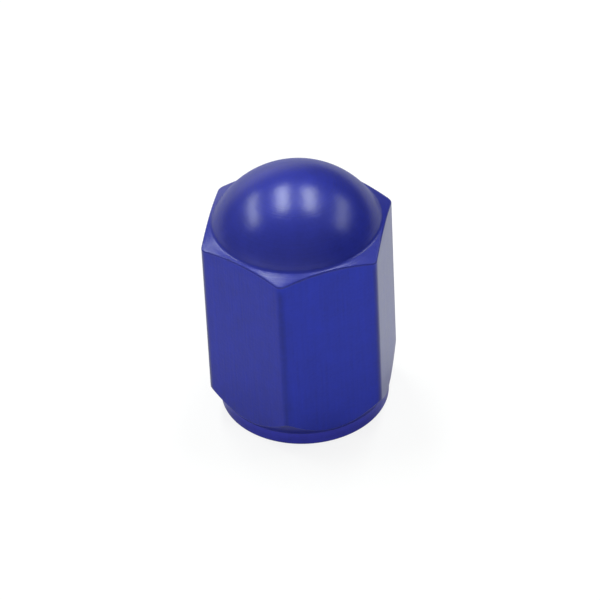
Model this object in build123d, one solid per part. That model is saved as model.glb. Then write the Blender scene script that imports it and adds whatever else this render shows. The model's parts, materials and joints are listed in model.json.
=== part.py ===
from build123d import *

import os
from math import cos, radians, tan

# Tyre valve cap: a domed hexagonal cap turned from aluminium bar, with a rubber washer inside that
# seals on the end of the valve. Millimetres, +Z up, the foot on Z = 0, two of the flats square to Y.

# Valve thread. The bore is modelled at the crests of the thread, as it is before tapping.
thread_diameter = 7.8
thread_depth = 0.43
thread_length = 8.0
mouth_relief = 0.1  # how far the lead-in opens beyond the roots of the thread, on the radius

# Rubber washer and its recess above the thread
washer_thickness = 1.5
washer_hole_diameter = 3.0
washer_edge_radius = 0.12
washer_side_clearance = 0.05
washer_end_play = 0.1
recess_undercut = 0.1  # how far the recess goes beyond the roots of the thread, on the radius
drill_point_diameter = 4.4  # what is left of the drill's cone above the washer's seat
drill_point_angle = 118

# Outside
wall_at_flats = 1.0  # metal between the recess and a flat
corner_radius = 0.5  # on the long edges of the hexagonal bar
foot_step = 0.12  # how far the round foot stands in from the flats
foot_height = 0.85
foot_edge_break = 0.12
lower_chamfer_angle = 57  # from the horizontal
upper_chamfer_angle = 25
shoulder_ledge = 0.2  # how far the dome stands in from the flats
dome_rise = 2.95
crown_thickness = 5.45  # metal from the washer's seat to the top of the dome

# Radii
thread_root_radius = thread_diameter / 2
bore_radius = thread_root_radius - thread_depth
mouth_radius = thread_root_radius + mouth_relief
recess_radius = thread_root_radius + recess_undercut
flat_radius = recess_radius + wall_at_flats
foot_radius = flat_radius - foot_step
dome_radius = flat_radius - shoulder_ledge
envelope_radius = flat_radius / cos(radians(30))  # to the bar's sharp corners, before they are rounded

# Heights above the foot
thread_start = mouth_radius - bore_radius  # the lead-in is at 45 degrees
thread_end = thread_start + thread_length
seat_height = thread_end + washer_thickness + washer_end_play
drill_point_depth = drill_point_diameter / 2 / tan(radians(drill_point_angle / 2))
overall_height = seat_height + crown_thickness
shoulder_height = overall_height - dome_rise
lower_chamfer_end = foot_height + (envelope_radius - foot_radius) * tan(radians(lower_chamfer_angle))
upper_chamfer_start = shoulder_height - (envelope_radius - dome_radius) * tan(radians(upper_chamfer_angle))


def hexagonal_bar():
    """Bar with rounded corners, two of them on the X axis."""
    section = RegularPolygon(flat_radius, 6, major_radius=False)
    return extrude(fillet(section.vertices(), corner_radius), overall_height)


def turned_envelope():
    """The shape that a lathe leaves of a bar that is thick enough: foot, two chamfers and dome."""
    with BuildSketch(Plane.XZ) as half:
        with BuildLine():
            Polyline(
                (dome_radius, shoulder_height),
                (envelope_radius, upper_chamfer_start),
                (envelope_radius, lower_chamfer_end),
                (foot_radius, foot_height),
                (foot_radius, foot_edge_break),
                (foot_radius - foot_edge_break, 0),
                (0, 0),
                (0, overall_height),
            )
            TangentArc((0, overall_height), (dome_radius, shoulder_height), tangent=(1, 0))
        make_face()
    return revolve(half.sketch, Axis.Z)


def bore():
    """The blind hole: lead-in, thread, washer recess and drill point."""
    with BuildSketch(Plane.XZ) as half:
        with BuildLine():
            Polyline(
                (0, 0),
                (mouth_radius, 0),
                (bore_radius, thread_start),
                (bore_radius, thread_end),
                (recess_radius, thread_end),
                (recess_radius, seat_height),
                (drill_point_diameter / 2, seat_height),
                (0, seat_height + drill_point_depth),
                close=True,
            )
        make_face()
    return revolve(half.sketch, Axis.Z)


def cap_body():
    return (hexagonal_bar() & turned_envelope()) - bore()


def sealing_washer():
    """Flat ring, held up against its seat by the sides of the recess."""
    outer_radius = recess_radius - washer_side_clearance
    ring = Cylinder(outer_radius, washer_thickness) - Cylinder(washer_hole_diameter / 2, washer_thickness)
    ring = fillet(ring.edges().filter_by(GeomType.CIRCLE), washer_edge_radius)
    return Pos(0, 0, seat_height - washer_thickness / 2) * ring


os.makedirs("parts", exist_ok=True)
export_step(cap_body(), "parts/cap_body.step")
export_step(sealing_washer(), "parts/sealing_washer.step")
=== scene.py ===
import json
from math import acos, atan, cos, pi, radians, sin, sqrt, tan

import bpy
import numpy as np
from mathutils import Matrix, Vector

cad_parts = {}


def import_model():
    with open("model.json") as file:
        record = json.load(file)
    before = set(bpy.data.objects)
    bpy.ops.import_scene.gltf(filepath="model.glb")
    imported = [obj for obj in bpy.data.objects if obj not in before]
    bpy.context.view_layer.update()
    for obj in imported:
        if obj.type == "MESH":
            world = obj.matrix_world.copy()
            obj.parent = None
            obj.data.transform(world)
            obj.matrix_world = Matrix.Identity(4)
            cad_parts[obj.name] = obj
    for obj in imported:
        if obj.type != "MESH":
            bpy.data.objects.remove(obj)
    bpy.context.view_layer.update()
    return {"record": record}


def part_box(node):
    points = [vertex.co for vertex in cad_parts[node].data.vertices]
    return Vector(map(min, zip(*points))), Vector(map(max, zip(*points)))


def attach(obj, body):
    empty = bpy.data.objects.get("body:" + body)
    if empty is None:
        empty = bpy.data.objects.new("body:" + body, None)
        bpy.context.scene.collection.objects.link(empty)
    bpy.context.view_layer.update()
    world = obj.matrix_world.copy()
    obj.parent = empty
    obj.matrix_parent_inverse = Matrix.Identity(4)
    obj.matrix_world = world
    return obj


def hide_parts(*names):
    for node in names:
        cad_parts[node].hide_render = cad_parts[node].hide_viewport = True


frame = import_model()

MM = 0.001

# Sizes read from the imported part
cap_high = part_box("cap_body")[1]
washer_low, washer_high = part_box("sealing_washer")
thread_mount = next(m for m in frame["record"]["mounts"] if m["name"] == "valve_thread")
flat_radius = cap_high.y
height = cap_high.z
bore_radius = thread_mount["dims"]["r_mm"] * MM
thread_middle = thread_mount["pos_m"][2]
thread_length = thread_mount["dims"]["length_mm"] * MM
thread_start = thread_middle - thread_length / 2
thread_end = thread_middle + thread_length / 2
seat_height = washer_high.z
washer_radius = washer_high.x

# Other sizes that the part has
corner_radius = 0.5 * MM
foot_step = 0.12 * MM
foot_height = 0.85 * MM
lower_chamfer = radians(57)
upper_chamfer = radians(25)
shoulder_ledge = 0.2 * MM
dome_rise = 2.95 * MM
washer_side_clearance = 0.05 * MM
drill_point_radius = 2.2 * MM
drill_point_half_angle = radians(59)
foot_radius = flat_radius - foot_step
dome_radius = flat_radius - shoulder_ledge
shoulder_height = height - dome_rise
recess_radius = washer_radius + washer_side_clearance

# Edges, which a tool and the finish leave a little round
edge_radius = 0.11 * MM
groove_radius = 0.35 * MM
foot_groove_radius = 0.12 * MM
foot_edge_radius = 0.12 * MM

# Valve thread, right-handed, with 32 threads to the inch. Its flats are shares of the pitch.
thread_pitch = 25.4 / 32 * MM
thread_depth = 0.43 * MM
thread_row = thread_pitch / 16
root_flat = 1 / 8
crest_flat = 1 / 4

# Mesh columns round the axis: in each of the six sectors of the cap, and all round the washer
flat_columns = 26
corner_columns = 8
washer_columns = 128
blind_steps = 6  # mesh rows in each stretch of the bore's blind end

# Rubber washer, with the line where the halves of its mould met
washer_hole_radius = 1.5 * MM
washer_edge = 0.12 * MM
parting_rise = 0.025 * MM
parting_width = 0.05 * MM
parting_shape = [(0, 1.0), (0.8, 0.4), (0.8, -0.4), (0, -1.0)]
rubber_dark = (0.014, 0.014, 0.015, 1)
rubber_bloom = (0.03, 0.03, 0.031, 1)
rubber_roughness = (0.55, 0.75)
rubber_depth = 0.006 * MM

# Blue dye, its tint at grazing angles, how much it varies and how much darker the long edges are; that
# darkening is painted shade, for the dark reflection the long edges show
# The three dyes are one blue with painted light and shade in it: darker on the turned dome and chamfers,
# paler on the drawn flats and the foot, for how the light falls on each
dye_and_shade_turned = Vector((0.013, 0.020, 0.240))
dye_and_light_drawn = Vector((0.005, 0.016, 0.285))
dye_and_light_foot = Vector((0.028, 0.032, 0.340))
grazing_turned = (0.08, 0.1, 0.3, 1)
grazing_drawn = (0.1, 0.1, 0.12, 1)
dye_variation = 0.22
edge_painted_shade = 0.3
edge_shade_band = 0.22 * MM

# Roughness of the metal, and the clear oxide skin on it
finish_turned = {"roughness": 0.7, "coat": 0.36, "coat_ior": 1.77, "coat_roughness": 0.26}
finish_drawn = {"roughness": 0.5, "coat": 1.0, "coat_ior": 1.3, "coat_roughness": 0.33}
finish_foot = {"roughness": 0.5, "coat": 1.0, "coat_ior": 1.25, "coat_roughness": 0.35}
roughness_spread = 0.06

# Sizes of the surface's marks, how deep they are and how much each counts in the dye's shade
turning_pitch = 0.11 * MM
turning_depth = 0.003 * MM
streak_size = 0.13 * MM
streak_squeeze = 0.03  # along the bar, which makes the streaks long
streak_depth = 0.005 * MM
grain_size = 0.2 * MM
grain_depth = 0.005 * MM
mottle_size = 0.9 * MM
tool_share, grain_share, mottle_share = 0.4, 0.35, 0.25
noise_low, noise_high = 0.3, 0.7  # where most of a noise's values lie

# Camera, from a fit on the photograph's outline
view_azimuth = radians(-18.6)
view_elevation = radians(39.3)
view_roll = radians(2.93)
view_distance = 0.249
view_target = Vector((0, 0, 7.65 * MM))
view_pixels_per_metre = 17530
view_rise_pixels = 12.5  # how far the target shows above the middle of the frame
frame_pixels = 600
sensor_width = 36.0

# Studio: strip lights at one height, a white floor and a soft sky. The floor's glow is the share of it
# that is plain white, to the camera and in reflections.
strip_level = 1.5
floor_glow = 0.85
floor_glow_mirrored = 0.35
floor_white = 0.82
sky_seen = 1.0  # to the camera
sky_strength = 0.33
sky_mirrored = 0.13  # more of it in reflections
fill_strength = 2.55
fill_azimuth = view_azimuth - radians(15)
backdrop_strength = 1.3
backdrop_azimuth = view_azimuth + radians(196)
shade_strength = -0.33
shade_azimuth = view_azimuth + radians(90)
lamp_colour = (0.96, 1.02, 0.97)


def hexagon_radii():
    """Angles and radii of the bar's outline: six flats and six rounded corners, two of them on X."""
    centre = (flat_radius - corner_radius) / cos(radians(30))
    half_flat = (flat_radius - corner_radius) * tan(radians(30))
    flat_angle = atan(half_flat / flat_radius)
    angles, radii = [], []
    for sector in range(6):
        normal = radians(30 + 60 * sector)
        for offset in np.linspace(-half_flat, half_flat, flat_columns + 1):
            angles.append(normal + atan(offset / flat_radius))
            radii.append(sqrt(flat_radius**2 + offset**2))
        turn = radians(30) - flat_angle
        for offset in np.linspace(-turn, turn, corner_columns + 1)[1:-1]:
            angles.append(normal + radians(30) + offset)
            radii.append(centre * cos(offset) + sqrt(corner_radius**2 - (centre * sin(offset)) ** 2))
    return np.array(angles), np.array(radii)


def arc(centre, radius, start, end, steps):
    """Points of an arc in the half section. Angles are from +Z towards the outside."""
    turn = np.linspace(start, end, steps + 1)
    return [(centre[0] + radius * sin(a), centre[1] + radius * cos(a)) for a in turn]


def line(start, end, steps):
    """Points between two ends, without the ends."""
    share = np.linspace(0, 1, steps + 1)[1:-1]
    return [(start[0] + (end[0] - start[0]) * s, start[1] + (end[1] - start[1]) * s) for s in share]


def dome_section():
    """From the top of the dome down to the end of the groove where it meets the upper chamfer."""
    sphere = (dome_radius**2 + dome_rise**2) / (2 * dome_rise)
    sphere_height = height - sphere
    normal = (sin(upper_chamfer), cos(upper_chamfer))
    plane = normal[0] * dome_radius + normal[1] * shoulder_height
    reach = sphere + groove_radius
    meeting = upper_chamfer + acos((plane + groove_radius - normal[1] * sphere_height) / reach)
    groove = (reach * sin(meeting), sphere_height + reach * cos(meeting))
    top = arc((0, sphere_height), sphere, 0, meeting, steps=44)
    return top[1:] + arc(groove, groove_radius, meeting + pi, upper_chamfer + pi, steps=5)[1:]


def flat_section(radius):
    """Upper chamfer, flat and lower chamfer at one angle, with the flat at that radius."""
    upper_edge = shoulder_height - (radius - dome_radius) * tan(upper_chamfer)
    lower_edge = foot_height + (radius - foot_radius) * tan(lower_chamfer)
    upper_centre = (radius - edge_radius, upper_edge - edge_radius * tan((pi / 2 - upper_chamfer) / 2))
    lower_centre = (radius - edge_radius, lower_edge + edge_radius * tan((pi / 2 - lower_chamfer) / 2))
    upper = arc(upper_centre, edge_radius, upper_chamfer, pi / 2, steps=6)
    lower = arc(lower_centre, edge_radius, pi / 2, pi - lower_chamfer, steps=5)
    return upper, line(upper[-1], lower[0], steps=16), lower


def foot_section():
    """Groove under the lower chamfer, then the foot, its rounded edge and the face that it stands on."""
    drop = foot_groove_radius * tan((pi / 2 - lower_chamfer) / 2)
    groove = (foot_radius + foot_groove_radius, foot_height - drop)
    hollow = arc(groove, foot_groove_radius, -lower_chamfer, -pi / 2, steps=4)
    centre = (foot_radius - foot_edge_radius, foot_edge_radius)
    edge = arc(centre, foot_edge_radius, pi / 2, pi, steps=6)
    mouth = (bore_radius + thread_start, 0.0)
    return hollow, line(hollow[-1], edge[0], steps=2) + edge + line(edge[-1], mouth, steps=3)


def thread_radii(angles, level):
    """Radii of the tapped bore at one height: the thread, cut away by the lead-in near the mouth."""
    turn = (level / thread_pitch - angles / (2 * pi)) % 1.0
    from_root = np.abs(2 * turn - 1)
    depth = np.clip((1 - crest_flat - from_root) / (1 - crest_flat - root_flat), 0, 1)
    depth = depth * depth * (3 - 2 * depth)
    lead_in = bore_radius + thread_start - level
    return np.maximum(bore_radius + thread_depth * depth, lead_in)


def blind_end_section():
    """Washer recess, its seat and the drill point, which ends on the axis."""
    tip = seat_height + drill_point_radius / tan(drill_point_half_angle)
    corners = [
        (recess_radius, thread_end),
        (recess_radius, seat_height),
        (drill_point_radius, seat_height),
        (0.0, tip),
    ]
    points = [corners[0]]
    for start, end in zip(corners, corners[1:]):
        points += line(start, end, blind_steps) + [end]
    return points[:-1], tip


def cap_rows():
    """Rings of the cap from the dome to the drill point, as (region, radii, levels)."""
    angles, hexagon = hexagon_radii()
    ones = np.ones(len(angles))
    rows = [("turned", r * ones, z * ones) for r, z in dome_section()]
    sections = [flat_section(r) for r in hexagon]
    groove_end = (rows[-1][1][0], rows[-1][2][0])
    chamfers = [line(groove_end, upper[0], steps=4) for upper, flat, lower in sections]
    hollow, foot = foot_section()
    low_chamfers = [line(lower[-1], hollow[0], steps=5) for upper, flat, lower in sections]
    bands = [
        ("turned", chamfers),
        ("turned", [upper for upper, flat, lower in sections]),
        ("drawn", [flat for upper, flat, lower in sections]),
        ("drawn", [lower for upper, flat, lower in sections]),
        ("turned", low_chamfers),
    ]
    for region, band in bands:
        band = np.array(band)
        rows += [(region, band[:, k, 0], band[:, k, 1]) for k in range(band.shape[1])]
    rows += [("turned", r * ones, z * ones) for r, z in hollow]
    rows += [("foot", r * ones, z * ones) for r, z in foot]
    levels = np.linspace(0, thread_end, int(thread_end / thread_row) + 1)
    rows += [("bore", thread_radii(angles, z), z * ones) for z in levels]
    blind, tip = blind_end_section()
    rows += [("blind", r * ones, z * ones) for r, z in blind]
    return angles, rows, tip


def washer_section():
    """Half section of the washer, all the way round: a moulded ring with a faint parting line outside."""
    middle = (washer_low.z + washer_high.z) / 2
    outer, inner = washer_radius - washer_edge, washer_hole_radius + washer_edge
    top, bottom = washer_high.z - washer_edge, washer_low.z + washer_edge
    points = arc((outer, top), washer_edge, 0, pi / 2, steps=5)
    for rise, side in parting_shape:
        points.append((washer_radius + parting_rise * rise, middle + parting_width * side))
    points += arc((outer, bottom), washer_edge, pi / 2, pi, steps=5)
    points += arc((inner, bottom), washer_edge, pi, 1.5 * pi, steps=5)
    points += arc((inner, top), washer_edge, 1.5 * pi, 2 * pi, steps=5)
    return points


def ring_mesh(name, angles, rows, poles=(), closed=False):
    """Mesh of rings joined one to the next. A pole (ring, level) closes an end ring on the axis."""
    columns = len(angles)
    vertices = []
    for radii, levels in rows:
        vertices += [(r * cos(a), r * sin(a), z) for a, r, z in zip(angles, radii, levels)]
    faces = []
    for k in range(len(rows) if closed else len(rows) - 1):
        here, below = k * columns, (k + 1) % len(rows) * columns
        for j in range(columns):
            after = (j + 1) % columns
            faces.append((here + j, below + j, below + after, here + after))
    for ring, level in poles:
        vertices.append((0.0, 0.0, level))
        for j in range(columns):
            fan = (len(vertices) - 1, ring * columns + j, ring * columns + (j + 1) % columns)
            faces.append(fan if ring == 0 else fan[::-1])
    mesh = bpy.data.meshes.new(name)
    mesh.from_pydata(vertices, [], faces)
    mesh.validate()
    mesh.shade_smooth()
    piece = bpy.data.objects.new(name, mesh)
    bpy.context.scene.collection.objects.link(piece)
    return piece


def mark_sharp(mesh, columns, rings):
    """Keep a crease along whole rings."""
    ends = np.empty(2 * len(mesh.edges), dtype=np.int32)
    mesh.edges.foreach_get("vertices", ends)
    first, second = (ends.reshape(-1, 2) // columns).T
    crease = (first == second) & np.isin(first, rings)
    mesh.attributes.new("sharp_edge", "BOOLEAN", "EDGE").data.foreach_set("value", crease)


def node(tree, kind, inputs, **settings):
    """A node with its settings. An input is a plain value, or a socket to link from."""
    made = tree.nodes.new(kind)
    for name, value in settings.items():
        setattr(made, name, value)
    for key, value in inputs.items():
        if isinstance(value, bpy.types.NodeSocket):
            tree.links.new(value, made.inputs[key])
        else:
            made.inputs[key].default_value = value
    return made


def maths(tree, operation, first, second=0.0):
    return node(tree, "ShaderNodeMath", {0: first, 1: second}, operation=operation).outputs[0]


def weighted(tree, parts):
    """Sum of sockets, each times its weight."""
    total = 0.0
    for socket, weight in parts:
        inputs = {0: socket, 1: weight, 2: total}
        total = node(tree, "ShaderNodeMath", inputs, operation="MULTIPLY_ADD").outputs[0]
    return total


def spread(tree, socket, low, high):
    """Stretch the middle of a noise over a range of values."""
    inputs = {"From Min": noise_low, "From Max": noise_high, "To Min": low, "To Max": high}
    return node(tree, "ShaderNodeMapRange", {"Value": socket, **inputs}).outputs["Result"]


def blend(tree, factor, first, second):
    """Mix of two colours, of which the first may be a socket."""
    return node(tree, "ShaderNodeMix", {0: factor, 6: first, 7: second}, data_type="RGBA").outputs[2]


def ray_kinds(tree):
    """Whether a ray comes from the camera, and whether it comes from something shiny or clear."""
    path = node(tree, "ShaderNodeLightPath", {}).outputs
    mirrored = maths(tree, "MAXIMUM", path["Is Glossy Ray"], path["Is Transmission Ray"])
    return path["Is Camera Ray"], mirrored


def noise(tree, place, size, detail):
    inputs = {"Vector": place, "Scale": 1 / size, "Detail": detail}
    return node(tree, "ShaderNodeTexNoise", inputs, noise_dimensions="3D").outputs[0]


def bump(tree, rise):
    """Normals of a surface that rises by so many metres."""
    inputs = {"Height": rise, "Distance": 1.0, "Strength": 1.0}
    return node(tree, "ShaderNodeBump", inputs).outputs["Normal"]


def new_material(name):
    material = bpy.data.materials.new(name)
    material.use_nodes = True
    tree = material.node_tree
    return material, tree, tree.nodes["Principled BSDF"]


def turning_marks(tree, place):
    """Fine rings that a lathe tool leaves, close together along the half section."""
    flat = node(tree, "ShaderNodeVectorMath", {0: place, 1: (1, 1, 0)}, operation="MULTIPLY").outputs[0]
    radius = node(tree, "ShaderNodeVectorMath", {0: flat}, operation="LENGTH").outputs["Value"]
    level = node(tree, "ShaderNodeSeparateXYZ", {0: place}).outputs["Z"]
    along = maths(tree, "SUBTRACT", radius, level)
    inputs = {"W": along, "Scale": 1 / turning_pitch, "Detail": 2.0}
    return node(tree, "ShaderNodeTexNoise", inputs, noise_dimensions="1D").outputs[0]


def drawing_marks(tree, place):
    """Long streaks that a die leaves along the bar."""
    inputs = {0: place, 1: (1, 1, streak_squeeze)}
    drawn = node(tree, "ShaderNodeVectorMath", inputs, operation="MULTIPLY").outputs[0]
    return noise(tree, drawn, streak_size, detail=3.0)


def anodised(name, dye_and_shading, grazing, marks, mark_depth, finish):
    """Dyed oxide on etched aluminium: a clear satin skin over metal that shows its tool marks. The dye it
    is given holds painted light and shade besides the real blue.
    """
    material, tree, shader = new_material(name)
    place = node(tree, "ShaderNodeTexCoord", {}).outputs["Object"]
    tool = marks(tree, place)
    grain = noise(tree, place, grain_size, detail=3.0)
    mottle = noise(tree, place, mottle_size, detail=2.0)
    edge = node(tree, "ShaderNodeAttribute", {}, attribute_name="edge").outputs["Fac"]
    shares = [(tool, tool_share), (grain, grain_share), (mottle, mottle_share)]
    shade = spread(tree, weighted(tree, shares), 0.0, 1.0)
    darkest, palest = [(*(dye_and_shading * (1 + side * dye_variation)), 1) for side in (-1, 1)]
    colour = blend(tree, shade, darkest, palest)
    # painted shade: the base colour goes darker towards the long edges of the flats, for the dark
    # reflection they show
    colour = blend(tree, maths(tree, "MULTIPLY", edge, edge_painted_shade), colour, (0, 0, 0, 1))
    normal = bump(tree, weighted(tree, [(tool, mark_depth), (grain, grain_depth)]))
    patches = weighted(tree, [(tool, 0.5), (grain, 0.5)])
    smoothest, roughest = [finish["roughness"] + side * roughness_spread for side in (-1, 1)]
    tree.links.new(colour, shader.inputs["Base Color"])
    tree.links.new(spread(tree, patches, smoothest, roughest), shader.inputs["Roughness"])
    tree.links.new(normal, shader.inputs["Normal"])
    tree.links.new(normal, shader.inputs["Coat Normal"])
    shader.inputs["Metallic"].default_value = 1.0
    shader.inputs["Specular Tint"].default_value = grazing
    shader.inputs["Coat Weight"].default_value = finish["coat"]
    shader.inputs["Coat Roughness"].default_value = finish["coat_roughness"]
    shader.inputs["Coat IOR"].default_value = finish["coat_ior"]
    return material


def rubber():
    """Moulded black rubber, dull, with a little bloom on it."""
    material, tree, shader = new_material("seal_rubber")
    place = node(tree, "ShaderNodeTexCoord", {}).outputs["Object"]
    grain = noise(tree, place, grain_size, detail=4.0)
    bloom = noise(tree, place, mottle_size, detail=3.0)
    colour = blend(tree, spread(tree, bloom, 0.0, 1.0), rubber_dark, rubber_bloom)
    normal = bump(tree, maths(tree, "MULTIPLY", grain, rubber_depth))
    tree.links.new(colour, shader.inputs["Base Color"])
    tree.links.new(spread(tree, grain, *rubber_roughness), shader.inputs["Roughness"])
    tree.links.new(normal, shader.inputs["Normal"])
    return material


def edge_shade_nearness(angles, rows):
    """How near each point of the flats is to a long edge of the bar, from 1 on the edge to 0. It is the
    mask of the painted shade along the long edges.
    """
    across = np.abs(np.degrees(angles) % 60 - 30)
    gap = flat_radius * (tan(radians(30)) - np.tan(np.radians(across)))
    near = np.exp(-((np.maximum(gap, 0) / edge_shade_band) ** 2))
    return np.concatenate([near if region == "drawn" else 0 * near for region, radii, levels in rows])


def cap_piece():
    angles, rows, tip = cap_rows()
    regions = [region for region, radii, levels in rows]
    poles = [(0, height), (len(rows) - 1, tip)]
    piece = ring_mesh("cap_finish", angles, [(radii, levels) for region, radii, levels in rows], poles)
    mesh = piece.data
    near = np.append(edge_shade_nearness(angles, rows), [0.0, 0.0])
    # the edge attribute is the mask of the painted shade along the long edges
    mesh.attributes.new("edge", "FLOAT", "POINT").data.foreach_set("value", near)
    mouth, blind = regions.index("bore"), regions.index("blind")
    creases = [mouth, blind - 1, blind, blind + blind_steps, blind + 2 * blind_steps]
    mark_sharp(mesh, len(angles), creases)
    finishes = [
        ("turned", dye_and_shade_turned, grazing_turned, turning_marks, turning_depth, finish_turned),
        ("drawn", dye_and_light_drawn, grazing_drawn, drawing_marks, streak_depth, finish_drawn),
        ("foot", dye_and_light_foot, grazing_turned, turning_marks, turning_depth, finish_foot),
    ]
    for region, *look in finishes:
        mesh.materials.append(anodised("anodised_" + region, *look))
    named = [region for region, *look in finishes]
    index = [named.index(region) if region in named else 0 for region in regions[1:]]
    mesh.polygons.foreach_set("material_index", np.repeat(index + [0, 0], len(angles)))
    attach(piece, "root")
    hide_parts("cap_body")


def washer_piece():
    angles = np.linspace(0, 2 * pi, washer_columns, endpoint=False)
    ones = np.ones(washer_columns)
    rows = [(r * ones, z * ones) for r, z in washer_section()]
    piece = ring_mesh("washer_rubber", angles, rows, closed=True)
    piece.data.materials.append(rubber())
    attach(piece, "root")
    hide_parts("sealing_washer")


def floor_piece():
    """White floor. It is partly bright by itself where it is seen, so the object's shadow on it is pale."""
    bpy.ops.mesh.primitive_circle_add(vertices=96, radius=2.0, fill_type="NGON", location=(0, 0, 0))
    floor = bpy.context.object
    floor.name = "floor"
    material, tree, shader = new_material("floor_white")
    shader.inputs["Base Color"].default_value = (floor_white, floor_white, floor_white, 1)
    shader.inputs["Roughness"].default_value = 1.0
    shader.inputs["Specular IOR Level"].default_value = 0.0
    glow = node(tree, "ShaderNodeEmission", {"Color": (1, 1, 1, 1), "Strength": 1.0}).outputs[0]
    seen, mirrored = ray_kinds(tree)
    share = weighted(tree, [(seen, floor_glow), (mirrored, floor_glow_mirrored)])
    mixed = node(tree, "ShaderNodeMixShader", {0: share, 1: shader.outputs[0], 2: glow}).outputs[0]
    tree.links.new(mixed, tree.nodes["Material Output"].inputs["Surface"])
    floor.data.materials.append(material)


def direction(azimuth, elevation):
    """Unit vector from the object, with azimuth 0 towards the front, which is -Y."""
    return Vector((sin(azimuth) * cos(elevation), -cos(azimuth) * cos(elevation), sin(elevation)))


def view_axes():
    """Right, up and back of the camera before it is rolled."""
    back = direction(view_azimuth, view_elevation)
    right = Vector((cos(view_azimuth), sin(view_azimuth), 0))
    return right, back.cross(right), back


def camera():
    right, up, back = view_axes()
    data = bpy.data.cameras.new("camera")
    data.sensor_width = sensor_width
    data.lens = sensor_width * view_pixels_per_metre * view_distance / frame_pixels
    data.clip_start = 0.01
    data.clip_end = 20
    obj = bpy.data.objects.new("camera", data)
    bpy.context.scene.collection.objects.link(obj)
    turn = Matrix((right, up, back)).transposed().to_4x4() @ Matrix.Rotation(-view_roll, 4, "Z")
    aim = view_target - turn.col[1].to_3d() * (view_rise_pixels / view_pixels_per_metre)
    obj.matrix_world = Matrix.Translation(aim + back * view_distance) @ turn
    bpy.context.scene.camera = obj


def strip_light(name, side, near, far, width, radiance):
    """A long soft box overhead that runs away from the camera. Its sizes are in strip levels."""
    right, up, back = view_axes()
    away = Vector((-back.x, -back.y, 0)).normalized()
    data = bpy.data.lights.new(name, "AREA")
    data.shape = "RECTANGLE"
    data.size = width * strip_level
    data.size_y = (far - near) * strip_level
    data.energy = radiance * pi * data.size * data.size_y
    data.color = lamp_colour
    obj = bpy.data.objects.new(name, data)
    bpy.context.scene.collection.objects.link(obj)
    overhead = Vector((0, 0, height + strip_level))
    place = overhead + (right * side + away * ((near + far) / 2)) * strip_level
    turn = Matrix((right, away, right.cross(away))).transposed().to_4x4()
    obj.matrix_world = Matrix.Translation(place) @ turn


def lights():
    strip_light("strip_left", side=-1.08, near=0.0, far=1.2, width=0.30, radiance=11.8)
    strip_light("strip_middle_left", side=-0.245, near=0.05, far=0.80, width=0.20, radiance=17.6)
    strip_light("strip_middle_right", side=0.26, near=0.03, far=0.70, width=0.22, radiance=14.8)
    strip_light("strip_right", side=1.26, near=-0.2, far=0.98, width=0.55, radiance=5.0)


def glow(tree, ray, azimuth, strength, narrow, low, high):
    """More light in the sky around one azimuth, or less, which fades out upwards between two heights."""
    towards = {0: ray, 1: direction(azimuth, 0.0)}
    facing = node(tree, "ShaderNodeVectorMath", towards, operation="DOT_PRODUCT").outputs["Value"]
    ends = {"Value": facing, "From Min": narrow, "From Max": 1.0, "To Min": 0.0, "To Max": strength}
    across = node(tree, "ShaderNodeMapRange", ends, interpolation_type="SMOOTHSTEP").outputs["Result"]
    rise = node(tree, "ShaderNodeSeparateXYZ", {0: ray}).outputs["Z"]
    ends = {"Value": rise, "From Min": low, "From Max": high, "To Min": 1.0, "To Max": 0.0}
    up = node(tree, "ShaderNodeMapRange", ends, interpolation_type="SMOOTHSTEP").outputs["Result"]
    return maths(tree, "MULTIPLY", across, up)


def world():
    """Soft sky with a broad fill from the front, a pale backdrop behind and less light on the right.

    The camera sees it white.
    """
    made = bpy.data.worlds.new("world")
    bpy.context.scene.world = made
    made.use_nodes = True
    tree = made.node_tree
    ray = node(tree, "ShaderNodeTexCoord", {}).outputs["Generated"]
    fill = glow(tree, ray, fill_azimuth, fill_strength, narrow=0.3, low=0.08, high=0.35)
    backdrop = glow(tree, ray, backdrop_azimuth, backdrop_strength, narrow=0.85, low=0.35, high=0.65)
    shade = glow(tree, ray, shade_azimuth, shade_strength, narrow=0.0, low=0.5, high=0.9)
    seen, mirrored = ray_kinds(tree)
    lit = weighted(tree, [(fill, 1.0), (backdrop, 1.0), (shade, 1.0), (mirrored, sky_mirrored)])
    lit = maths(tree, "ADD", lit, sky_strength)
    inputs = {0: seen, 2: lit, 3: sky_seen}
    strength = node(tree, "ShaderNodeMix", inputs, data_type="FLOAT").outputs[0]
    background = tree.nodes["Background"]
    background.inputs["Color"].default_value = (1, 1, 1, 1)
    tree.links.new(strength, background.inputs["Strength"])


bpy.context.scene.view_settings.view_transform = "Standard"
cap_piece()
washer_piece()
floor_piece()
camera()
lights()
world()
